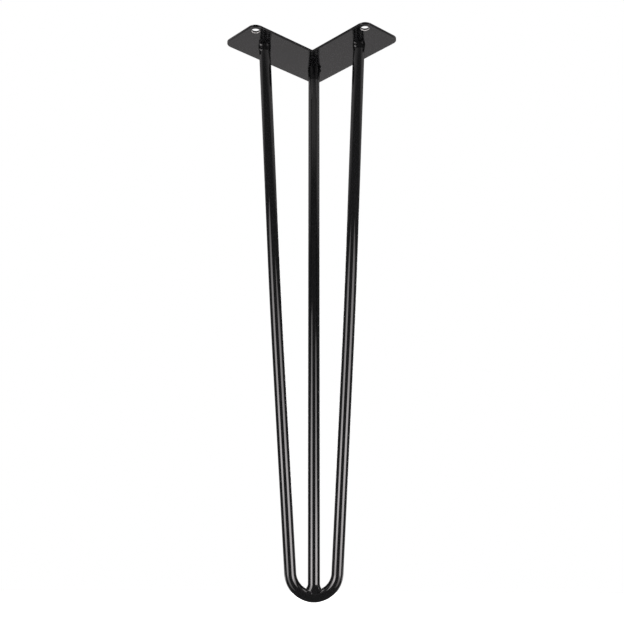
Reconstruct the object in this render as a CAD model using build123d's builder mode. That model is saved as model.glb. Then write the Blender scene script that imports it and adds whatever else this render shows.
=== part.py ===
from build123d import *
from math import acos, atan2, hypot, sqrt, tan
import os

# Hairpin table leg: a welded steel leg of an L-shaped plate, a bent bar and a straight bar.
# All sizes are in millimetres.
# The origin is midway between the two bolt holes, on the face that meets the table.
# +Z points up into the table and +X runs along the line of bolt holes.
# The square corner of the plate and the foot lie towards +Y.

# Leg as a whole
leg_height = 610.0  # table face down to the floor
foot_reach = 7.5  # centreline of the foot past the plate's square corner

# Round bar
rod_diameter = 13.0  # over its coat
bend_radius = 25.4  # to the bar's centreline
arm_bow = 1.8  # outward, half way up each arm of the hairpin
arm_bow_radius = 10000.0  # of the slight bend there

# Mounting plate
plate_thickness = 3.0
arm_length = 140.0  # square outer corner to the end of an arm
arm_width = 55.0
corner_radius = 9.5
notch_radius = 1.0  # inside corner of the L
plate_edge_chamfer = 0.4

# Bolt holes
bolt_hole_diameter = 9.0
bolt_hole_inset = 9.0  # from the end of the arm and from its inner edge
bolt_hole_chamfer = 0.5  # deburred rim on the underside

# Place of the hairpin on the plate, which has all three rods on the centrelines of its arms
hairpin_station = 103.0  # along each arm, from the outer edge of the other arm

# Centre rod's seat on the bend
centre_rod_seat = 2.0  # depth to which its notched end straddles the bar

# Welds
weld_toe = 0.2  # depth to which the edge of a weld runs into the bar
plate_weld_reach = 1.0  # out from the rod, along the plate
plate_weld_rise = 4.0  # down the rod
foot_weld_leg = 3.6  # past the side of the centre rod, along the bend
foot_weld_rise = 8.0  # up the centre rod
foot_weld_drop = 4.0  # down the front and back of the bend
foot_weld_throat = 0.8  # past the side of the centre rod, half way up
foot_weld_cover = 0.6  # past the front and back of the bars

# Sizes that follow from those above
rod_radius = rod_diameter / 2
bolt_hole_radius = bolt_hole_diameter / 2
bolt_x = (arm_length - arm_width) / sqrt(2)
corner_y = (arm_length + arm_width - 2 * bolt_hole_inset) / sqrt(2)
hairpin_x = (hairpin_station - arm_width / 2) / sqrt(2)
hairpin_y = corner_y - (hairpin_station + arm_width / 2) / sqrt(2)
centre_y = corner_y - arm_width / sqrt(2)
plate_weld_run_out = plate_weld_rise * weld_toe / plate_weld_reach  # past its rise, within the bar
foot_weld_seat = sqrt(foot_weld_drop * (rod_diameter - foot_weld_drop))  # bar's half depth at that drop

# Points that the rods run between: their tops on the plate, and the bar's centre at the foot
across = Vector(1, 0, 0)
hairpin_top = Vector(0, hairpin_y, -plate_thickness)
centre_top = Vector(0, centre_y, -plate_thickness)
foot = Vector(0, corner_y + foot_reach, rod_radius - leg_height)

# Planes that carry the sketches
plate_plane = Plane(origin=(0, corner_y, 0), x_dir=(-1, -1, 0), z_dir=(0, 0, 1))
underside = Plane.XY.offset(-plate_thickness)
drill_plane = Plane(origin=(0, 0, -plate_thickness), z_dir=(0, 0, -1))
hairpin_rise = hairpin_top - foot
hairpin_plane = Plane(origin=hairpin_top, x_dir=across, z_dir=across.cross(hairpin_rise))
centre_rise = centre_top - foot
centre_plane = Plane(origin=foot, x_dir=across, z_dir=centre_rise)
crown_plane = centre_plane.offset(rod_radius)


def lean_to_bend(half_width: float, rise: float) -> float:
    """Lean of a run that meets the foot's bend, from that half width and rise over the bend's centre."""
    return acos(bend_radius / hypot(half_width, rise)) - atan2(rise, half_width)


# Bow of each hairpin arm, half way between the plate and the centre of the bend
bow_drop = (hairpin_rise.length - bend_radius) / 2
bow_x = hairpin_x - bow_drop * tan(lean_to_bend(hairpin_x, 2 * bow_drop)) + arm_bow
upper_slope = (hairpin_x - bow_x) / bow_drop
lower_slope = tan(lean_to_bend(bow_x, bow_drop))

# Length by which the bars run on past the plate's underside before they are cut flush with it
overrun = rod_diameter


# Mounting plate: an L cut from flat plate and drilled near the inner end of each arm
with BuildPart() as mounting_plate:
    with BuildSketch(plate_plane) as outline:
        Rectangle(arm_length, arm_width, align=(Align.MIN, Align.MIN))
        Rectangle(arm_width, arm_length, align=(Align.MIN, Align.MIN))
        notch = (arm_width, arm_width, 0)
        fillet(outline.vertices().sort_by_distance(notch)[1:], radius=corner_radius)
        fillet(outline.vertices().sort_by_distance(notch)[:1], radius=notch_radius)
    extrude(amount=-plate_thickness)
    flat_faces = mounting_plate.faces().filter_by(Axis.Z)
    chamfer(flat_faces.edges(), length=plate_edge_chamfer)
    with Locations(drill_plane):
        with Locations((-bolt_x, 0), (bolt_x, 0)):
            CounterSinkHole(
                bolt_hole_radius,
                bolt_hole_radius + bolt_hole_chamfer,
                counter_sink_angle=90,
            )

# Hairpin: one bar, bent to a U at the foot, with both ends cut flush to the plate's underside
with BuildPart() as hairpin_rod:
    with BuildLine(hairpin_plane) as hairpin_path:
        FilletPolyline(
            (-hairpin_x - overrun * upper_slope, overrun),
            (-bow_x, -bow_drop),
            (0, -bow_drop - bow_x / lower_slope),
            (bow_x, -bow_drop),
            (hairpin_x + overrun * upper_slope, overrun),
            radius=(arm_bow_radius, bend_radius, arm_bow_radius),
        )
    with BuildSketch(Plane(origin=hairpin_path.line @ 0, z_dir=hairpin_path.line % 0)):
        Circle(rod_radius)
    sweep()
    split(bisect_by=underside, keep=Keep.BOTTOM)

# Centre rod: straight bar whose notched lower end sits astride the inside of the bend
with BuildPart() as centre_rod:
    with BuildSketch(crown_plane.offset(-centre_rod_seat)):
        Circle(rod_radius)
    extrude(amount=centre_rise.length + overrun)
    split(bisect_by=underside, keep=Keep.BOTTOM)
    add(hairpin_rod.part, mode=Mode.SUBTRACT)

# Foot weld: flares from the sides of the centre rod out along the bend, and covers the joint
with BuildPart() as foot_weld:
    for height, half_width, half_depth in (
        (-foot_weld_drop, rod_radius + foot_weld_leg, foot_weld_seat - weld_toe),
        (0, rod_radius + foot_weld_leg, rod_radius + foot_weld_cover),
        (foot_weld_rise / 2, rod_radius + foot_weld_throat, rod_radius + foot_weld_cover),
        (foot_weld_rise, rod_radius - weld_toe, rod_radius - weld_toe),
    ):
        with BuildSketch(crown_plane.offset(height)):
            Ellipse(half_width, half_depth)
    loft(ruled=True)
    add(centre_rod.part, mode=Mode.SUBTRACT)
    add(hairpin_rod.part, mode=Mode.SUBTRACT)


def plate_weld(seat: Plane, rod: Part) -> Part:
    """Fillet weld round the top of a rod. Its seat lies across the rod at the plate and faces down it."""
    with BuildPart() as bead:
        with Locations(seat.offset(-plate_weld_rise)):
            Cone(
                rod_radius + 2 * plate_weld_reach,
                rod_radius - weld_toe,
                2 * plate_weld_rise + plate_weld_run_out,
                align=(Align.CENTER, Align.CENTER, Align.MIN),
            )
        split(bisect_by=underside, keep=Keep.BOTTOM)
        add(rod, mode=Mode.SUBTRACT)
    return bead.part


left_seat = Plane(origin=(-hairpin_x, hairpin_y, -plate_thickness), z_dir=hairpin_path.line % 0)
right_seat = Plane(origin=(hairpin_x, hairpin_y, -plate_thickness), z_dir=-(hairpin_path.line % 1))
centre_seat = Plane(origin=centre_top, z_dir=-centre_rise)

pieces = {
    "mounting_plate": mounting_plate.part,
    "hairpin_rod": hairpin_rod.part,
    "centre_rod": centre_rod.part,
    "left_plate_weld": plate_weld(left_seat, hairpin_rod.part),
    "right_plate_weld": plate_weld(right_seat, hairpin_rod.part),
    "centre_plate_weld": plate_weld(centre_seat, centre_rod.part),
    "foot_weld": foot_weld.part,
}

os.makedirs("parts", exist_ok=True)
for name, piece in pieces.items():
    piece.label = name
    export_step(piece, f"parts/{name}.step")
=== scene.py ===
"""Looks of a welded hairpin table leg: gloss black coat, lumpy weld beads and a soft white studio.

Everything is in metres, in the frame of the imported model. The origin is midway between the two bolt
holes, on the face that meets the table. +Z points up into the table, +X runs along the line of bolt
holes, and the square corner of the plate and the foot lie towards +Y.
"""

from __future__ import annotations

import logging
import math
import random
from dataclasses import dataclass
from enum import Enum
from typing import Any

import bmesh
import bpy
from mathutils import Matrix, Vector
from mathutils.bvhtree import BVHTree


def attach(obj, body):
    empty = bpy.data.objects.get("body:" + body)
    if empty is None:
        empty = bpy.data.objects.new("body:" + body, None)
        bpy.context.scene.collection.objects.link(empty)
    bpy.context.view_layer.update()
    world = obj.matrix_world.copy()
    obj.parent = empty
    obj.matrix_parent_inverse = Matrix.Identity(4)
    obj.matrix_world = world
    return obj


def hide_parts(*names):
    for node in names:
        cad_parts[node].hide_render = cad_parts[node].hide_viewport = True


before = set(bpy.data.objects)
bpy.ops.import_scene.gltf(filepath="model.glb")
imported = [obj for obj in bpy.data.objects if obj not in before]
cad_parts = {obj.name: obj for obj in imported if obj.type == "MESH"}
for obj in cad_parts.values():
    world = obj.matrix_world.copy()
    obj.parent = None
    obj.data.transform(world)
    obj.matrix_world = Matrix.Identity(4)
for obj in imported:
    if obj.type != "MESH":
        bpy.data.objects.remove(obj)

MM = 0.001
ACROSS = Vector((1, 0, 0))
UP = Vector((0, 0, 1))
BODY = "root"
MERGE_DISTANCE = 0.001 * MM
SHARP_ANGLE = math.radians(32)
FRONT_ANGLE = -math.pi / 2  # of the camera's side of a rod, from its local X axis
FLAT_NORMAL = 0.999  # a face lies flat if this much of its normal is along Z

# Sockets of a Mix node that mixes colours
MIX_FACTOR, MIX_FIRST, MIX_SECOND, MIX_RESULT = 0, 6, 7, 2

# Range that most of a noise texture's values lie in
NOISE_LOW, NOISE_HIGH = 0.3, 0.7

log = logging.getLogger("hairpin_leg")


class Slot(Enum):
    """Material slots of the record. The pieces here are given their materials directly, not through
    these slots.
    """

    PLATE = "plate_coat"
    ROD = "rod_coat"
    WELD = "weld_coat"


@dataclass(frozen=True)
class LegSizes:
    """Driving sizes of the leg, and the places that follow from them."""

    leg_height: float = 610.0 * MM
    foot_reach: float = 7.5 * MM
    rod_radius: float = 6.5 * MM
    bend_radius: float = 25.4 * MM
    arm_bow: float = 1.8 * MM
    arm_bow_radius: float = 10000.0 * MM
    plate_thickness: float = 3.0 * MM
    arm_length: float = 140.0 * MM
    arm_width: float = 55.0 * MM
    bolt_hole_inset: float = 9.0 * MM
    hairpin_station: float = 103.0 * MM

    @property
    def corner_y(self) -> float:
        """Place of the plate's square corner along Y."""
        return (self.arm_length + self.arm_width - 2 * self.bolt_hole_inset) / math.sqrt(2)

    @property
    def bolt_x(self) -> float:
        """Distance of each bolt hole from the middle of the leg."""
        return (self.arm_length - self.arm_width) / math.sqrt(2)

    @property
    def hairpin_half_width(self) -> float:
        """Distance of each hairpin arm from the middle of the leg, at the plate."""
        return (self.hairpin_station - self.arm_width / 2) / math.sqrt(2)

    @property
    def hairpin_top(self) -> Vector:
        """Point midway between the tops of the hairpin's arms, on the plate's underside."""
        y = self.corner_y - (self.hairpin_station + self.arm_width / 2) / math.sqrt(2)
        return Vector((0, y, -self.plate_thickness))

    @property
    def centre_top(self) -> Vector:
        """Top of the centre rod, on the plate's underside."""
        return Vector((0, self.corner_y - self.arm_width / math.sqrt(2), -self.plate_thickness))

    @property
    def foot(self) -> Vector:
        """Centre of the bar at the lowest point of the bend."""
        return Vector((0, self.corner_y + self.foot_reach, self.rod_radius - self.leg_height))

    @property
    def hairpin_rise(self) -> Vector:
        """Line up the middle of the hairpin, from the foot to the plate."""
        return self.hairpin_top - self.foot

    @property
    def bow_drop(self) -> float:
        """Distance of the arms' bow below the plate, half way to the centre of the bend."""
        return (self.hairpin_rise.length - self.bend_radius) / 2

    @property
    def bow_half_width(self) -> float:
        """Distance of each arm's bow from the middle of the leg."""
        straight_lean = self.lean_to_bend(self.hairpin_half_width, 2 * self.bow_drop)
        return self.hairpin_half_width - self.bow_drop * math.tan(straight_lean) + self.arm_bow

    @property
    def upper_lean(self) -> float:
        """Lean of each arm above its bow."""
        return math.atan((self.hairpin_half_width - self.bow_half_width) / self.bow_drop)

    @property
    def centre_rise(self) -> Vector:
        """Direction of the centre rod, from the foot up to the plate."""
        return (self.centre_top - self.foot).normalized()

    def lean_to_bend(self, half_width: float, rise: float) -> float:
        """Lean of a run that meets the bend, from that half width and rise over the bend's centre."""
        return math.acos(self.bend_radius / math.hypot(half_width, rise)) - math.atan2(rise, half_width)

    def arm_top(self, side: int) -> Vector:
        """Top of the left arm, for side -1, or of the right arm, for side 1."""
        return self.hairpin_top + ACROSS * (side * self.hairpin_half_width)

    def arm_rise(self, side: int) -> Vector:
        """Direction of the upper run of the left arm, for side -1, or of the right arm, for side 1."""
        return self.hairpin_rise.normalized() + ACROSS * (side * math.tan(self.upper_lean))


SIZES = LegSizes()


def axes_at(origin: Vector, along_x: Vector, along_z: Vector) -> Matrix:
    """Makes the matrix of a local frame.

    Args:
        origin: Place of the local origin in the leg.
        along_x: Direction that the local X axis lies nearest to.
        along_z: Direction of the local Z axis.

    Returns:
        Matrix that carries local points into the leg.
    """
    z = along_z.normalized()
    y = z.cross(along_x).normalized()
    turn = Matrix((y.cross(z), y, z)).transposed().to_4x4()
    return Matrix.Translation(origin) @ turn


def linear(hex_colour: str) -> tuple[float, float, float, float]:
    """Turns an sRGB hex colour into a linear one.

    Args:
        hex_colour: Colour as a hash sign and six hex digits.

    Returns:
        Linear red, green, blue and alpha.
    """
    channels = [int(hex_colour[i:i + 2], 16) / 255 for i in (1, 3, 5)]
    red, green, blue = (c / 12.92 if c <= 0.04045 else ((c + 0.055) / 1.055) ** 2.4 for c in channels)
    return red, green, blue, 1.0


def add_node(
    tree: bpy.types.NodeTree,
    kind: str,
    inputs: dict[str | int, Any] | None = None,
    **settings: Any,
) -> bpy.types.Node:
    """Adds a node to a tree.

    Args:
        tree: Node tree of a material, a light or the world.
        kind: Type of the node.
        inputs: Value of each input socket, or the output socket that it is linked from.
        settings: Properties of the node.

    Returns:
        The new node.
    """
    node = tree.nodes.new(kind)
    for name, value in settings.items():
        setattr(node, name, value)
    for name, value in (inputs or {}).items():
        if isinstance(value, bpy.types.NodeSocket):
            tree.links.new(value, node.inputs[name])
        else:
            node.inputs[name].default_value = value
    return node


def smoothstep(share: float) -> float:
    """Eases a share from 0 to 1, with level ends."""
    t = min(max(share, 0.0), 1.0)
    return t * t * (3 - 2 * t)


def close_mesh(bm: bmesh.types.BMesh) -> None:
    """Merges doubles, caps what is open and turns all faces outwards.

    Args:
        bm: Mesh to close.
    """
    bmesh.ops.remove_doubles(bm, verts=bm.verts, dist=MERGE_DISTANCE)
    rims = [edge for edge in bm.edges if edge.is_boundary]
    bmesh.ops.holes_fill(bm, edges=rims, sides=0)
    bmesh.ops.recalc_face_normals(bm, faces=bm.faces)


def cut_at_underside(bm: bmesh.types.BMesh) -> None:
    """Cuts away what reaches past the plate's underside, and leaves the cut open.

    Args:
        bm: Mesh to cut.
    """
    bmesh.ops.bisect_plane(
        bm,
        geom=[*bm.verts, *bm.edges, *bm.faces],
        dist=MERGE_DISTANCE,
        plane_co=(0, 0, -SIZES.plate_thickness),
        plane_no=UP,
        clear_outer=True,
    )


def make_piece(
    name: str,
    bm: bmesh.types.BMesh,
    materials: list[bpy.types.Material],
    node: str,
) -> bpy.types.Object:
    """Turns a mesh into a piece of the leg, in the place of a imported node.

    Args:
        name: Name of the piece.
        bm: Its finished mesh, which is freed.
        materials: Materials in the order of the faces' indices.
        node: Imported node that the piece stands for.

    Returns:
        The piece's object.
    """
    for face in bm.faces:
        face.smooth = True
    mesh = bpy.data.meshes.new(name)
    bm.to_mesh(mesh)
    bm.free()
    mesh.set_sharp_from_angle(angle=SHARP_ANGLE)
    for material in materials:
        mesh.materials.append(material)
    piece = bpy.data.objects.new(name, mesh)
    bpy.context.scene.collection.objects.link(piece)
    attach(piece, BODY)
    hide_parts(node)
    log.info("%s: %d vertices, %d faces", name, len(mesh.vertices), len(mesh.polygons))
    return piece


@dataclass(frozen=True)
class GlossCoat:
    """Gloss black enamel, sprayed on steel.

    The eye sees lights in it as crisp streaks on near black, a little wavy where the coat sagged. Waves
    finer than its peel don't show at this size, so they are left out.
    """

    name: str
    dark: str = "#050505"
    light: str = "#080809"
    roughness_low: float = 0.05
    roughness_high: float = 0.09
    specular_level: float = 0.5
    peel_pitch: float = 4.0 * MM
    peel_height: float = 0.0012 * MM
    sag_pitch: float = 16.0 * MM
    sag_height: float = 0.012 * MM
    cloud_pitch: float = 45.0 * MM

    def material(self) -> bpy.types.Material:
        """Builds the coat's material.

        Returns:
            The new material.
        """
        material = bpy.data.materials.new(self.name)
        material.use_nodes = True
        tree = material.node_tree
        shader = tree.nodes["Principled BSDF"]
        place = add_node(tree, "ShaderNodeTexCoord").outputs["Object"]
        clouds = add_node(
            tree, "ShaderNodeTexNoise", {"Vector": place, "Scale": 1 / self.cloud_pitch, "Detail": 3.0}
        )
        colour = add_node(
            tree,
            "ShaderNodeMix",
            {
                MIX_FACTOR: clouds.outputs["Fac"],
                MIX_FIRST: linear(self.dark),
                MIX_SECOND: linear(self.light),
            },
            data_type="RGBA",
        )
        roughness = add_node(
            tree,
            "ShaderNodeMapRange",
            {
                "Value": clouds.outputs["Fac"],
                "From Min": NOISE_LOW,
                "From Max": NOISE_HIGH,
                "To Min": self.roughness_low,
                "To Max": self.roughness_high,
            },
        )
        sag = add_node(
            tree, "ShaderNodeTexNoise", {"Vector": place, "Scale": 1 / self.sag_pitch, "Detail": 0.0}
        )
        peel = add_node(
            tree, "ShaderNodeTexNoise", {"Vector": place, "Scale": 1 / self.peel_pitch, "Detail": 1.0}
        )
        sag_bump = add_node(
            tree, "ShaderNodeBump", {"Height": sag.outputs["Fac"], "Distance": self.sag_height}
        )
        peel_bump = add_node(
            tree,
            "ShaderNodeBump",
            {
                "Height": peel.outputs["Fac"],
                "Distance": self.peel_height,
                "Normal": sag_bump.outputs["Normal"],
            },
        )
        tree.links.new(colour.outputs[MIX_RESULT], shader.inputs["Base Color"])
        tree.links.new(roughness.outputs["Result"], shader.inputs["Roughness"])
        tree.links.new(peel_bump.outputs["Normal"], shader.inputs["Normal"])
        shader.inputs["Specular IOR Level"].default_value = self.specular_level
        return material


@dataclass(frozen=True)
class BareSteel:
    """Mild steel, drilled and left bare.

    The eye sees a pale and dull grey, darker at the rim, where coat was sprayed over it. Its grain is
    drawn coarser than real drill marks, which are too fine to show.
    """

    name: str
    dark: str = "#706e6c"
    light: str = "#adabaa"
    rim: str = "#2c2b2a"
    rim_height: float = 0.55 * MM
    metallic: float = 0.35
    roughness: float = 0.45
    grain_pitch: float = 0.8 * MM

    def material(self) -> bpy.types.Material:
        """Builds the steel's material.

        Returns:
            The new material.
        """
        material = bpy.data.materials.new(self.name)
        material.use_nodes = True
        tree = material.node_tree
        shader = tree.nodes["Principled BSDF"]
        place = add_node(tree, "ShaderNodeTexCoord").outputs["Object"]
        grain = add_node(
            tree, "ShaderNodeTexNoise", {"Vector": place, "Scale": 1 / self.grain_pitch, "Detail": 2.0}
        )
        colour = add_node(
            tree,
            "ShaderNodeMix",
            {
                MIX_FACTOR: grain.outputs["Fac"],
                MIX_FIRST: linear(self.dark),
                MIX_SECOND: linear(self.light),
            },
            data_type="RGBA",
        )
        parts = add_node(tree, "ShaderNodeSeparateXYZ", {"Vector": place})
        clear = add_node(
            tree,
            "ShaderNodeMapRange",
            {
                "Value": parts.outputs["Z"],
                "From Min": -SIZES.plate_thickness,
                "From Max": self.rim_height - SIZES.plate_thickness,
            },
        )
        rimmed = add_node(
            tree,
            "ShaderNodeMix",
            {
                MIX_FACTOR: clear.outputs["Result"],
                MIX_FIRST: linear(self.rim),
                MIX_SECOND: colour.outputs[MIX_RESULT],
            },
            data_type="RGBA",
        )
        tree.links.new(rimmed.outputs[MIX_RESULT], shader.inputs["Base Color"])
        shader.inputs["Metallic"].default_value = self.metallic
        shader.inputs["Roughness"].default_value = self.roughness
        return material


class RoundBar:
    """A round bar drawn out in a mesh, one straight run or bend at a time."""

    ring_sides = 64

    def __init__(self, start: Vector, heading: Vector, radius: float) -> None:
        """Starts the bar with an open ring.

        Args:
            start: Centre of the ring.
            heading: Direction in which the bar goes on.
            radius: Radius of the bar.
        """
        self.bm = bmesh.new()
        self.place = start.copy()
        self.heading = heading.normalized()
        turn = self.heading.to_track_quat("Z", "Y").to_matrix().to_4x4()
        ring = bmesh.ops.create_circle(
            self.bm, segments=self.ring_sides, radius=radius, matrix=Matrix.Translation(start) @ turn
        )
        self.first_ring = ring["verts"]
        self.end = [*ring["verts"], *self.bm.edges]

    def run(self, length: float, steps: int) -> None:
        """Draws a straight run.

        Args:
            length: Length of the run.
            steps: Number of rings along it.
        """
        step = self.heading * (length / steps)
        drawn = bmesh.ops.spin(self.bm, geom=self.end, dvec=step, axis=UP, angle=0.0, steps=steps)
        self.end = drawn["geom_last"]
        self.place = self.place + self.heading * length

    def bend(self, radius: float, axis: Vector, angle: float, steps: int) -> None:
        """Draws a bend to the left of the heading.

        Args:
            radius: Radius of the bar's centreline.
            axis: Direction of the bend's axis.
            angle: Angle of the bend.
            steps: Number of rings along it.
        """
        centre = self.place + axis.cross(self.heading) * radius
        drawn = bmesh.ops.spin(self.bm, geom=self.end, cent=centre, axis=axis, angle=angle, steps=steps)
        self.end = drawn["geom_last"]
        turn = Matrix.Rotation(angle, 3, axis)
        self.place = centre + turn @ (self.place - centre)
        self.heading = turn @ self.heading


@dataclass
class Hairpin:
    """The bent bar: one U at the foot and two arms that bow out a little on their way to the plate."""

    coat: bpy.types.Material
    bend_steps: int = 36
    bow_steps: int = 6
    run_steps: int = 16

    def mesh(self) -> bmesh.types.BMesh:
        """Bends the right half of the bar, mirrors it and cuts its ends flush with the plate.

        Returns:
            Closed mesh of the bar.
        """
        rise = SIZES.hairpin_rise
        bow_x, bow_drop = SIZES.bow_half_width, SIZES.bow_drop
        lower_lean = SIZES.lean_to_bend(bow_x, bow_drop)
        bow_angle = lower_lean - SIZES.upper_lean
        bow_cut = SIZES.arm_bow_radius * math.tan(bow_angle / 2)
        lower_run = math.sqrt(bow_x ** 2 + bow_drop ** 2 - SIZES.bend_radius ** 2) - bow_cut
        upper_run = bow_drop / math.cos(SIZES.upper_lean) - bow_cut
        overrun = 2 * SIZES.rod_radius

        bar = RoundBar(Vector((0, -rise.length, 0)), ACROSS, SIZES.rod_radius)
        bar.bend(SIZES.bend_radius, UP, math.pi / 2 - lower_lean, self.bend_steps)
        bar.run(lower_run, self.run_steps)
        bar.bend(SIZES.arm_bow_radius, UP, bow_angle, self.bow_steps)
        bar.run(upper_run + overrun, self.run_steps)
        bm = bar.bm
        bmesh.ops.mirror(bm, geom=[*bm.verts, *bm.edges, *bm.faces], merge_dist=MERGE_DISTANCE, axis="X")
        place = axes_at(SIZES.hairpin_top, ACROSS, ACROSS.cross(rise))
        bmesh.ops.transform(bm, matrix=place, verts=bm.verts)
        cut_at_underside(bm)
        close_mesh(bm)
        return bm

    def build(self) -> BVHTree:
        """Makes the piece.

        Returns:
            Search tree of the bar's surface, for what seats on it.
        """
        bm = self.mesh()
        surface = BVHTree.FromBMesh(bm)
        make_piece("hairpin_bar", bm, [self.coat], "hairpin_rod")
        return surface


@dataclass
class CentreRod:
    """The straight rod from the plate's corner, with its lower end notched to sit astride the bend."""

    coat: bpy.types.Material
    seat: float = 2.0 * MM
    run_steps: int = 32

    def build(self, bend: BVHTree) -> None:
        """Makes the piece.

        Args:
            bend: Surface of the bar that the notched end sits on.
        """
        rise = SIZES.centre_rise
        start = SIZES.foot + rise * (2 * SIZES.rod_radius)
        bar = RoundBar(start, rise, SIZES.rod_radius)
        bar.run((SIZES.centre_top - start).length + 2 * SIZES.rod_radius, self.run_steps)
        lowest = SIZES.rod_radius + self.seat
        for vert in bar.first_ring:
            drop = bend.ray_cast(vert.co, -rise)[3] or lowest
            vert.co -= rise * min(drop, lowest)
        cut_at_underside(bar.bm)
        close_mesh(bar.bm)
        make_piece("centre_rod_bar", bar.bm, [self.coat], "centre_rod")


@dataclass
class MountingPlate:
    """The flat L-shaped plate, with rounded corners, eased edges and two drilled bolt holes."""

    coat: bpy.types.Material
    bare: bpy.types.Material
    corner_radius: float = 9.5 * MM
    notch_radius: float = 1.0 * MM
    edge_round: float = 0.4 * MM
    hole_radius: float = 4.5 * MM
    hole_chamfer: float = 0.5 * MM
    bare_band: float = 1.15 * MM
    hole_sides: int = 72
    corner_segments: int = 14
    edge_segments: int = 4

    def blank(self) -> bmesh.types.BMesh:
        """Cuts the L from flat plate and eases its edges.

        Returns:
            Closed mesh of the plate without its holes.
        """
        long, wide = SIZES.arm_length, SIZES.arm_width
        corners = ((0, 0), (long, 0), (long, wide), (wide, wide), (wide, long), (0, long))
        bm = bmesh.new()
        verts = [bm.verts.new((x, y, 0)) for x, y in corners]
        bm.faces.new(verts)
        notch = verts[3]
        outer = [vert for vert in verts if vert is not notch]
        for group, radius in ((outer, self.corner_radius), ([notch], self.notch_radius)):
            bmesh.ops.bevel(
                bm,
                geom=group,
                offset=radius,
                offset_type="OFFSET",
                segments=self.corner_segments,
                profile=0.5,
                affect="VERTICES",
                material=-1,
            )
        bm.faces.ensure_lookup_table()
        outline = bm.faces[0]
        raised = bmesh.ops.extrude_face_region(bm, geom=[outline])
        moved = [item for item in raised["geom"] if isinstance(item, bmesh.types.BMVert)]
        bmesh.ops.translate(bm, verts=moved, vec=-UP * SIZES.plate_thickness)
        bmesh.ops.recalc_face_normals(bm, faces=bm.faces)
        flats = [face for face in bm.faces if abs(face.normal.z) > FLAT_NORMAL]
        bmesh.ops.bevel(
            bm,
            geom=[edge for face in flats for edge in face.edges],
            offset=self.edge_round,
            offset_type="OFFSET",
            segments=self.edge_segments,
            profile=0.5,
            affect="EDGES",
            material=-1,
        )
        place = axes_at(Vector((0, SIZES.corner_y, 0)), Vector((-1, -1, 0)), UP)
        bmesh.ops.transform(bm, matrix=place, verts=bm.verts)
        bmesh.ops.recalc_face_normals(bm, faces=bm.faces)
        return bm

    def drill(self) -> bmesh.types.BMesh:
        """Makes the two drills: a shank the size of the hole, and a countersink under the plate.

        Returns:
            Closed mesh of both drills.
        """
        under = -SIZES.plate_thickness
        spare = SIZES.plate_thickness
        profile = (
            (self.hole_radius, spare),
            (self.hole_radius, under + self.bare_band),
            (self.hole_radius, under + self.hole_chamfer),
            (self.hole_radius + self.hole_chamfer, under),
            (self.hole_radius + self.hole_chamfer + spare, under - spare),
        )
        bm = bmesh.new()
        for side in (-1, 1):
            axis_x = side * SIZES.bolt_x
            verts = [bm.verts.new((axis_x + radius, 0, z)) for radius, z in profile]
            edges = [bm.edges.new(pair) for pair in zip(verts, verts[1:])]
            bmesh.ops.spin(
                bm,
                geom=[*verts, *edges],
                cent=(axis_x, 0, 0),
                axis=UP,
                angle=2 * math.pi,
                steps=self.hole_sides,
                use_merge=True,
            )
        close_mesh(bm)
        return bm

    def build(self) -> None:
        """Drills the blank and makes the piece, with a band of bare steel low in its holes."""
        solids = {}
        for name, bm in (("plate_blank", self.blank()), ("plate_drill", self.drill())):
            mesh = bpy.data.meshes.new(name)
            bm.to_mesh(mesh)
            bm.free()
            solids[name] = bpy.data.objects.new(name, mesh)
            bpy.context.scene.collection.objects.link(solids[name])
        cut = solids["plate_blank"].modifiers.new("bolt_holes", "BOOLEAN")
        cut.operation = "DIFFERENCE"
        cut.solver = "EXACT"
        cut.object = solids["plate_drill"]
        depsgraph = bpy.context.evaluated_depsgraph_get()
        drilled = bpy.data.meshes.new_from_object(solids["plate_blank"].evaluated_get(depsgraph))
        bm = bmesh.new()
        bm.from_mesh(drilled)
        for solid in solids.values():
            bpy.data.objects.remove(solid)
        bmesh.ops.remove_doubles(bm, verts=bm.verts, dist=MERGE_DISTANCE)
        bm.normal_update()
        reach = self.hole_radius + self.hole_chamfer
        for face in bm.faces:
            middle = face.calc_center_median()
            in_hole = math.hypot(abs(middle.x) - SIZES.bolt_x, middle.y) < reach
            low = middle.z < self.bare_band - SIZES.plate_thickness
            flat = abs(face.normal.z) > FLAT_NORMAL
            face.material_index = 1 if in_hole and low and not flat else 0
        finishes = [self.coat, self.bare]
        piece = make_piece("mounting_plate_blank", bm, finishes, "mounting_plate")
        for polygon in piece.data.polygons:
            polygon.use_smooth = abs(polygon.normal.z) < FLAT_NORMAL


@dataclass(frozen=True)
class Lump:
    """A lump of weld metal on a bead: where its middle is, how far it spreads and how high it stands.

    The azimuth is in degrees from the front of the rod, positive to the right.
    """

    azimuth: float
    drop: float
    spread_round: float
    spread_down: float
    height: float

    def swell(self, around: float, drop: float) -> float:
        """Gives the height that the lump adds at a spot.

        Args:
            around: Angle of the spot round the rod, from the local X axis.
            drop: Drop of the spot below the plate.

        Returns:
            Height over the plain bead.
        """
        turn = math.remainder(around - FRONT_ANGLE - math.radians(self.azimuth), 2 * math.pi)
        sideways = turn * SIZES.rod_radius / self.spread_round
        downways = (drop - self.drop) / self.spread_down
        return self.height * math.exp(-sideways ** 2 - downways ** 2)


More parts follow.
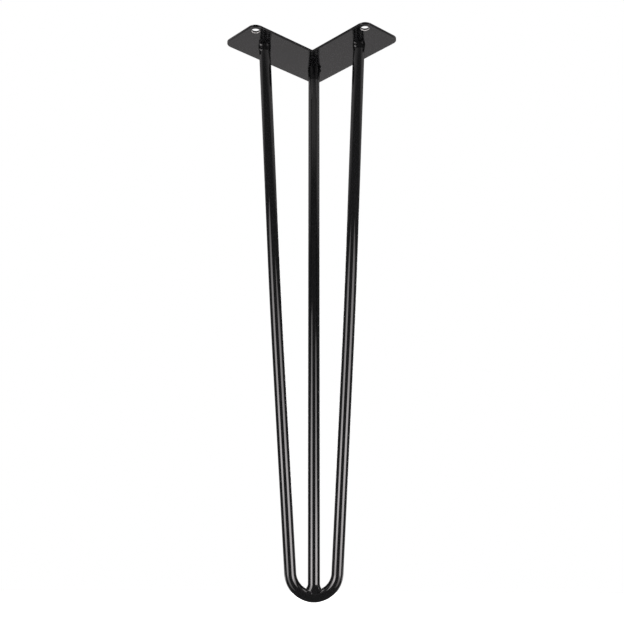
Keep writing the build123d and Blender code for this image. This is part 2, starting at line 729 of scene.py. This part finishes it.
@dataclass
class PlateBead:
    """A slim weld run round the top of a rod, with small lumps along it and blobs where it stopped."""

    name: str
    node: str
    seat: Vector
    rod_rise: Vector
    coat: bpy.types.Material
    blobs: list[Lump]
    seed: int
    flank: float
    reach: float = 0.7 * MM
    run_out: float = 4.0 * MM
    toe: float = 0.1 * MM
    lumps: int = 13
    lump_height: float = 0.12 * MM
    lump_spread: float = 1.8 * MM
    lump_jitter: float = 0.3
    lump_drops: tuple[float, float] = (0.8 * MM, 3.6 * MM)
    lump_shares: tuple[float, float] = (0.4, 1.0)
    ring_sides: int = 160
    profile_steps: int = 66

    def all_lumps(self) -> list[Lump]:
        """Draws the small lumps along the run, and adds the blobs.

        Returns:
            All the lumps of the bead.
        """
        draw = random.Random(self.seed)
        small = []
        for count in range(self.lumps):
            azimuth = (count + draw.uniform(-self.lump_jitter, self.lump_jitter)) * 360 / self.lumps
            drop = draw.uniform(*self.lump_drops)
            height = self.lump_height * draw.uniform(*self.lump_shares)
            small.append(Lump(azimuth, drop, self.lump_spread, self.lump_spread, height))
        return [*self.blobs, *small]

    def build(self) -> None:
        """Spins the run's profile round the rod, raises its lumps and sets it against the plate."""
        inner = SIZES.rod_radius - self.toe
        depth = self.flank + self.run_out
        bm = bmesh.new()
        verts = []
        for step in range(self.profile_steps + 1):
            drop = depth * step / self.profile_steps
            flare = max((self.reach + self.toe) * (1 - drop / self.flank), 0.0)
            verts.append(bm.verts.new((inner + flare, 0, -drop)))
        edges = [bm.edges.new(pair) for pair in zip(verts, verts[1:])]
        bmesh.ops.spin(
            bm,
            geom=[*verts, *edges],
            axis=UP,
            angle=2 * math.pi,
            steps=self.ring_sides,
            use_merge=True,
        )
        place = axes_at(self.seat, ACROSS, self.rod_rise)
        slope = place.to_3x3().transposed() @ UP
        lumps = self.all_lumps()
        for vert in bm.verts:
            around = math.atan2(vert.co.y, vert.co.x)
            swell = sum(lump.swell(around, -vert.co.z) for lump in lumps)
            vert.co += Vector((math.cos(around), math.sin(around), 0)) * swell
            vert.co.z -= (slope.x * vert.co.x + slope.y * vert.co.y) / slope.z
        bmesh.ops.transform(bm, matrix=place, verts=bm.verts)
        close_mesh(bm)
        make_piece(self.name, bm, [self.coat], self.node)


@dataclass(frozen=True)
class WeldSide:
    """One side of the foot weld: its reach along the bend, and where its front turns flat."""

    leg: float
    round_above: float
    flat_below: float
    round_power: float = 2.0
    flat_power: float = 4.0

    def squareness(self, height: float) -> float:
        """Power of the section's outline, which is higher where its front is flat."""
        share = (height - self.flat_below) / (self.round_above - self.flat_below)
        return self.flat_power - (self.flat_power - self.round_power) * smoothstep(share)


@dataclass
class FootWeld:
    """The weld that flares from the sides of the centre rod out along the inside of the bend."""

    coat: bpy.types.Material
    left: WeldSide = WeldSide(leg=4.2 * MM, round_above=-3.0 * MM, flat_below=-4.0 * MM)
    right: WeldSide = WeldSide(leg=3.2 * MM, round_above=6.0 * MM, flat_below=3.0 * MM)
    rise: float = 8.0 * MM
    drop: float = 4.0 * MM
    cover: float = 0.25 * MM
    toe: float = 0.06 * MM
    flare_power: float = 2.6
    tuck: float = 1.5
    ring_sides: int = 144
    height_steps: int = 60

    def half_width(self, height: float, side: WeldSide) -> float:
        """Gives the half width of the weld along the bend.

        Args:
            height: Height over the bend's crown.
            side: Side of the weld.

        Returns:
            Half width on that side.
        """
        if height < 0:
            return SIZES.rod_radius + side.leg + height * self.tuck
        to_go = 1 - min(height / self.rise, 1.0)
        return SIZES.rod_radius - self.toe + (side.leg + self.toe) * to_go ** self.flare_power

    def half_depth(self, height: float) -> float:
        """Gives the half depth of the weld, front to back.

        Args:
            height: Height over the bend's crown.

        Returns:
            Half depth at that height.
        """
        full = SIZES.rod_radius + self.cover
        if height > 0:
            return full - (self.cover + self.toe) * smoothstep(height / self.rise)
        seat = math.sqrt(self.drop * (2 * SIZES.rod_radius - self.drop)) - self.toe
        return full - (full - seat) * (height / self.drop) ** 2

    def build(self) -> None:
        """Draws a tube over the weld's height, flares it and makes the piece."""
        bm = bmesh.new()
        ring = bmesh.ops.create_circle(bm, segments=self.ring_sides, radius=1.0)
        bmesh.ops.translate(bm, verts=ring["verts"], vec=-UP * self.drop)
        step = UP * ((self.rise + self.drop) / self.height_steps)
        bmesh.ops.spin(
            bm,
            geom=[*bm.verts, *bm.edges],
            dvec=step,
            axis=UP,
            angle=0.0,
            steps=self.height_steps,
        )
        for vert in bm.verts:
            sine, cosine, height = vert.co
            side = self.right if sine > 0 else self.left
            power = side.round_power / side.squareness(height)
            vert.co.x = math.copysign(abs(sine) ** power, sine) * self.half_width(height, side)
            vert.co.y = math.copysign(abs(cosine) ** power, cosine) * self.half_depth(height)
        crown = SIZES.foot + SIZES.centre_rise * SIZES.rod_radius
        bmesh.ops.transform(bm, matrix=axes_at(crown, ACROSS, SIZES.centre_rise), verts=bm.verts)
        close_mesh(bm)
        make_piece("foot_weld_bead", bm, [self.coat], "foot_weld")


@dataclass(frozen=True)
class SoftBox:
    """An upright panel of soft light at a distance from the leg.

    Azimuths are in degrees from the camera's side of the leg, positive to the right. The glow lists
    heights from the bottom of the panel to its top, each with the radiance there.
    """

    name: str
    azimuths: tuple[float, float]
    glow: tuple[tuple[float, float], ...]
    tint: str = "#fffafb"
    distance: float = 1.4

    def build(self) -> None:
        """Stands the panel up, with its light graded over its height."""
        low, high = self.glow[0][0], self.glow[-1][0]
        azimuth = math.radians(sum(self.azimuths) / 2)
        half_angle = math.radians((self.azimuths[1] - self.azimuths[0]) / 2)
        light = bpy.data.lights.new(self.name, "AREA")
        light.shape = "RECTANGLE"
        light.size = 2 * self.distance * math.tan(half_angle)
        light.size_y = high - low
        # This power is a radiance of 1, which the graded strength then multiplies
        light.energy = math.pi * light.size * light.size_y
        light.use_nodes = True
        tree = light.node_tree
        emission = tree.nodes["Emission"]
        emission.inputs["Color"].default_value = linear(self.tint)
        spot = add_node(tree, "ShaderNodeNewGeometry").outputs["Parametric"]
        parts = add_node(tree, "ShaderNodeSeparateXYZ", {"Vector": spot})
        grade = add_node(tree, "ShaderNodeValToRGB", {"Fac": parts.outputs["Y"]})
        brightest = max(radiance for _, radiance in self.glow)
        stops = grade.color_ramp.elements
        for height, _ in self.glow[1:-1]:
            stops.new((height - low) / (high - low))
        for stop, (_, radiance) in zip(stops, self.glow):
            share = radiance / brightest
            stop.color = (share, share, share, 1.0)
        strength = add_node(
            tree, "ShaderNodeMath", {0: grade.outputs["Color"], 1: brightest}, operation="MULTIPLY"
        )
        tree.links.new(strength.outputs["Value"], emission.inputs["Strength"])
        away = Vector((math.sin(azimuth), -math.cos(azimuth), 0))
        panel = bpy.data.objects.new(self.name, light)
        panel.matrix_world = axes_at(away * self.distance + UP * (low + high) / 2, UP.cross(away), away)
        panel.visible_camera = False
        bpy.context.scene.collection.objects.link(panel)


@dataclass(frozen=True)
class MattFloor:
    """Matt white paint on a studio floor.

    The eye sees an even white with no shine, which fades out far from the leg.
    """

    name: str
    level: float
    fade_end: float
    fade_start: float = 0.7
    colour: str = "#f4f4f4"
    glow_colour: str = "#ffffff"
    glow: float = 0.7
    roughness: float = 1.0
    specular_level: float = 0.0

    def material(self) -> bpy.types.Material:
        """Builds the floor's material.

        Returns:
            The new material.
        """
        material = bpy.data.materials.new(self.name)
        material.use_nodes = True
        tree = material.node_tree
        shader = tree.nodes["Principled BSDF"]
        shader.inputs["Base Color"].default_value = linear(self.colour)
        shader.inputs["Roughness"].default_value = self.roughness
        shader.inputs["Specular IOR Level"].default_value = self.specular_level
        shader.inputs["Emission Color"].default_value = linear(self.glow_colour)
        shader.inputs["Emission Strength"].default_value = self.glow
        place = add_node(tree, "ShaderNodeTexCoord").outputs["Object"]
        level = add_node(tree, "ShaderNodeMapping", {"Vector": place, "Location": -UP * self.level})
        reach = add_node(tree, "ShaderNodeVectorMath", {0: level.outputs["Vector"]}, operation="LENGTH")
        cover = add_node(
            tree,
            "ShaderNodeMapRange",
            {
                "Value": reach.outputs["Value"],
                "From Min": self.fade_start,
                "From Max": self.fade_end,
                "To Min": 1.0,
                "To Max": 0.0,
            },
            interpolation_type="SMOOTHSTEP",
        )
        tree.links.new(cover.outputs["Result"], shader.inputs["Alpha"])
        return material


@dataclass
class Studio:
    """A white studio: pale floor, white surround, soft panels at both sides, and the camera."""

    floor_height: float
    floor_radius: float = 1.4
    floor_sides: int = 96
    surround: float = 0.13
    overhead_size: float = 3.0
    overhead_height: float = 2.2
    overhead_radiance: float = 7.0
    camera_place: tuple[float, float, float] = (0.05366, -0.97224, -0.58873)
    camera_turn: tuple[float, float, float] = (105.195, -0.2488, 2.8889)
    focal_length: float = 57.376
    sensor_width: float = 36.0

    def build_floor(self) -> None:
        """Lays the pale floor, lit a little from beneath. It is kept out of reflections and shadows."""
        bm = bmesh.new()
        bmesh.ops.create_circle(bm, cap_ends=True, segments=self.floor_sides, radius=self.floor_radius)
        bmesh.ops.translate(bm, verts=bm.verts, vec=UP * self.floor_height)
        mesh = bpy.data.meshes.new("floor")
        bm.to_mesh(mesh)
        bm.free()
        finish = MattFloor("matt_white_floor", self.floor_height, self.floor_radius)
        mesh.materials.append(finish.material())
        floor = bpy.data.objects.new("floor", mesh)
        floor.visible_glossy = False
        floor.visible_shadow = False
        bpy.context.scene.collection.objects.link(floor)

    def build_surround(self) -> None:
        """Makes the surround white to the camera and dim in reflections."""
        world = bpy.data.worlds.new("white_surround")
        world.use_nodes = True
        bpy.context.scene.world = world
        tree = world.node_tree
        level = self.surround
        tree.nodes["Background"].inputs["Color"].default_value = (level, level, level, 1.0)
        white = add_node(tree, "ShaderNodeBackground", {"Color": linear("#ffffff")})
        path = add_node(tree, "ShaderNodeLightPath")
        mix = add_node(
            tree,
            "ShaderNodeMixShader",
            {
                0: path.outputs["Is Camera Ray"],
                1: tree.nodes["Background"].outputs["Background"],
                2: white.outputs["Background"],
            },
        )
        tree.links.new(mix.outputs["Shader"], tree.nodes["World Output"].inputs["Surface"])

    def build_lights(self) -> None:
        """Hangs the panels, and one light overhead that only the floor shows."""
        # Panels at the sides, which the rods mirror as streaks
        left_glow = (
            (-1.80, 1.0),
            (-1.20, 2.8),
            (-1.05, 5.5),
            (-0.90, 8.4),
            (-0.74, 11.3),
            (-0.60, 8.6),
            (-0.30, 5.0),
            (-0.12, 2.3),
            (-0.10, 1.8),
        )
        right_glow = (
            (-1.80, 1.0),
            (-1.20, 3.0),
            (-1.03, 7.6),
            (-0.90, 9.4),
            (-0.70, 10.2),
            (-0.45, 5.5),
            (-0.30, 4.4),
            (-0.18, 2.2),
            (-0.16, 1.6),
        )
        # Dim cards, for the upper parts of the rods and the edges of the plate
        fill_glow = ((0.14, 0.05), (0.32, 0.6), (0.53, 0.65), (0.59, 0.25), (0.90, 0.25))
        rear_fill_glow = ((0.14, 0.05), (0.32, 0.6), (0.90, 0.8))
        front_glow = ((0.24, 0.0), (0.36, 0.42), (0.495, 0.45), (0.535, 0.0))
        # High cards, for the inside of the bend
        high_glow = ((1.00, 0.0), (1.10, 6.0), (1.90, 6.0))
        dim_high_glow = ((1.00, 0.0), (1.10, 3.5), (1.90, 3.5))
        # Cards at the back, for both faces of the plate, and strips for the back of the rods
        back_glow = ((-2.6, 0.5), (-0.4, 0.5))
        back_high_glow = ((0.95, 0.3), (1.30, 1.5), (3.20, 1.5))
        strip_glow = ((-0.62, 0.5), (-0.45, 4.5), (0.30, 4.5), (0.40, 0.5))
        low_strip_glow = ((-1.00, 0.5), (-0.95, 2.0), (-0.76, 2.0), (-0.72, 0.5))
        for panel in (
            SoftBox("left_panel", (-66, -30), left_glow),
            SoftBox("right_panel", (35, 76), right_glow),
            SoftBox("left_fill", (-95, -62), fill_glow),
            SoftBox("left_rear_fill", (-125, -95), rear_fill_glow),
            SoftBox("right_fill", (62, 95), fill_glow),
            SoftBox("right_rear_fill", (95, 125), rear_fill_glow),
            SoftBox("left_front_card", (-62, -20), front_glow),
            SoftBox("front_card", (-20, 20), front_glow),
            SoftBox("right_front_card", (20, 62), front_glow),
            SoftBox("left_high_card", (-78, -36), high_glow),
            SoftBox("right_high_card", (36, 78), dim_high_glow),
            SoftBox("left_rear_high_card", (-138, -98), dim_high_glow),
            SoftBox("right_rear_high_card", (98, 138), dim_high_glow),
            SoftBox("back_card", (140, 220), back_glow),
            SoftBox("back_strip", (171, 189), strip_glow),
            SoftBox("back_high_card", (140, 220), back_high_glow),
            SoftBox("left_rear_strip", (-145, -115), low_strip_glow),
            SoftBox("right_rear_strip", (115, 145), low_strip_glow),
        ):
            panel.build()
        overhead = bpy.data.lights.new("overhead", "AREA")
        overhead.shape = "SQUARE"
        overhead.size = self.overhead_size
        overhead.energy = math.pi * overhead.size ** 2 * self.overhead_radiance
        lamp = bpy.data.objects.new("overhead", overhead)
        lamp.location = UP * self.overhead_height
        lamp.visible_camera = False
        lamp.visible_glossy = False
        bpy.context.scene.collection.objects.link(lamp)

    def build_camera(self) -> None:
        """Places the camera at the photograph's viewpoint."""
        data = bpy.data.cameras.new("camera")
        data.lens = self.focal_length
        data.sensor_width = self.sensor_width
        camera = bpy.data.objects.new("camera", data)
        camera.location = self.camera_place
        camera.rotation_euler = [math.radians(angle) for angle in self.camera_turn]
        bpy.context.scene.collection.objects.link(camera)
        bpy.context.scene.camera = camera

    def build(self) -> None:
        """Sets up the whole studio."""
        bpy.context.scene.view_settings.view_transform = "Standard"
        self.build_floor()
        self.build_surround()
        self.build_lights()
        self.build_camera()


def main() -> None:
    """Builds the leg and its studio."""
    logging.basicConfig(level=logging.INFO)
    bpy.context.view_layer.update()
    # Enamel sprayed over bars, plate and foot weld, which the lights show in as crisp streaks
    rod_coat = GlossCoat("gloss_black_coat_on_bar").material()
    plate_coat = GlossCoat("gloss_black_coat_on_plate").material()
    weld_coat = GlossCoat("gloss_black_coat_on_weld").material()
    # The same enamel with less shine on the beads, which stay dark where the rods show light
    arm_bead_coat = GlossCoat("satin_black_coat_on_arm_beads", specular_level=0.25).material()
    centre_bead_coat = GlossCoat("dull_black_coat_on_centre_bead", specular_level=0.12).material()
    # Steel that the drill left bare, which shows as a pale, dull ring low in each hole
    bare = BareSteel("bare_drilled_steel").material()

    MountingPlate(plate_coat, bare).build()
    bend = Hairpin(rod_coat).build()
    CentreRod(rod_coat).build(bend)
    left_blobs = [
        Lump(azimuth=-42, drop=0.2 * MM, spread_round=2.0 * MM, spread_down=1.4 * MM, height=1.0 * MM),
        Lump(azimuth=-48, drop=5.8 * MM, spread_round=2.0 * MM, spread_down=1.6 * MM, height=1.5 * MM),
    ]
    right_blobs = [
        Lump(azimuth=-46, drop=0.4 * MM, spread_round=1.8 * MM, spread_down=1.3 * MM, height=0.8 * MM),
        Lump(azimuth=-46, drop=4.0 * MM, spread_round=1.8 * MM, spread_down=1.4 * MM, height=0.8 * MM),
    ]
    centre_blobs = [
        Lump(azimuth=84, drop=2.8 * MM, spread_round=2.2 * MM, spread_down=1.8 * MM, height=1.5 * MM),
    ]
    for side, name, blobs, seed in ((-1, "left", left_blobs, 3), (1, "right", right_blobs, 5)):
        PlateBead(
            f"{name}_bead",
            f"{name}_plate_weld",
            SIZES.arm_top(side),
            SIZES.arm_rise(side),
            arm_bead_coat,
            blobs,
            seed,
            flank=8.0 * MM,
        ).build()
    PlateBead(
        "centre_bead",
        "centre_plate_weld",
        SIZES.centre_top,
        SIZES.centre_rise,
        centre_bead_coat,
        centre_blobs,
        seed=8,
        flank=18.0 * MM,
    ).build()
    FootWeld(weld_coat).build()

    Studio(floor_height=-SIZES.leg_height).build()


if __name__ == "__main__":
    main()
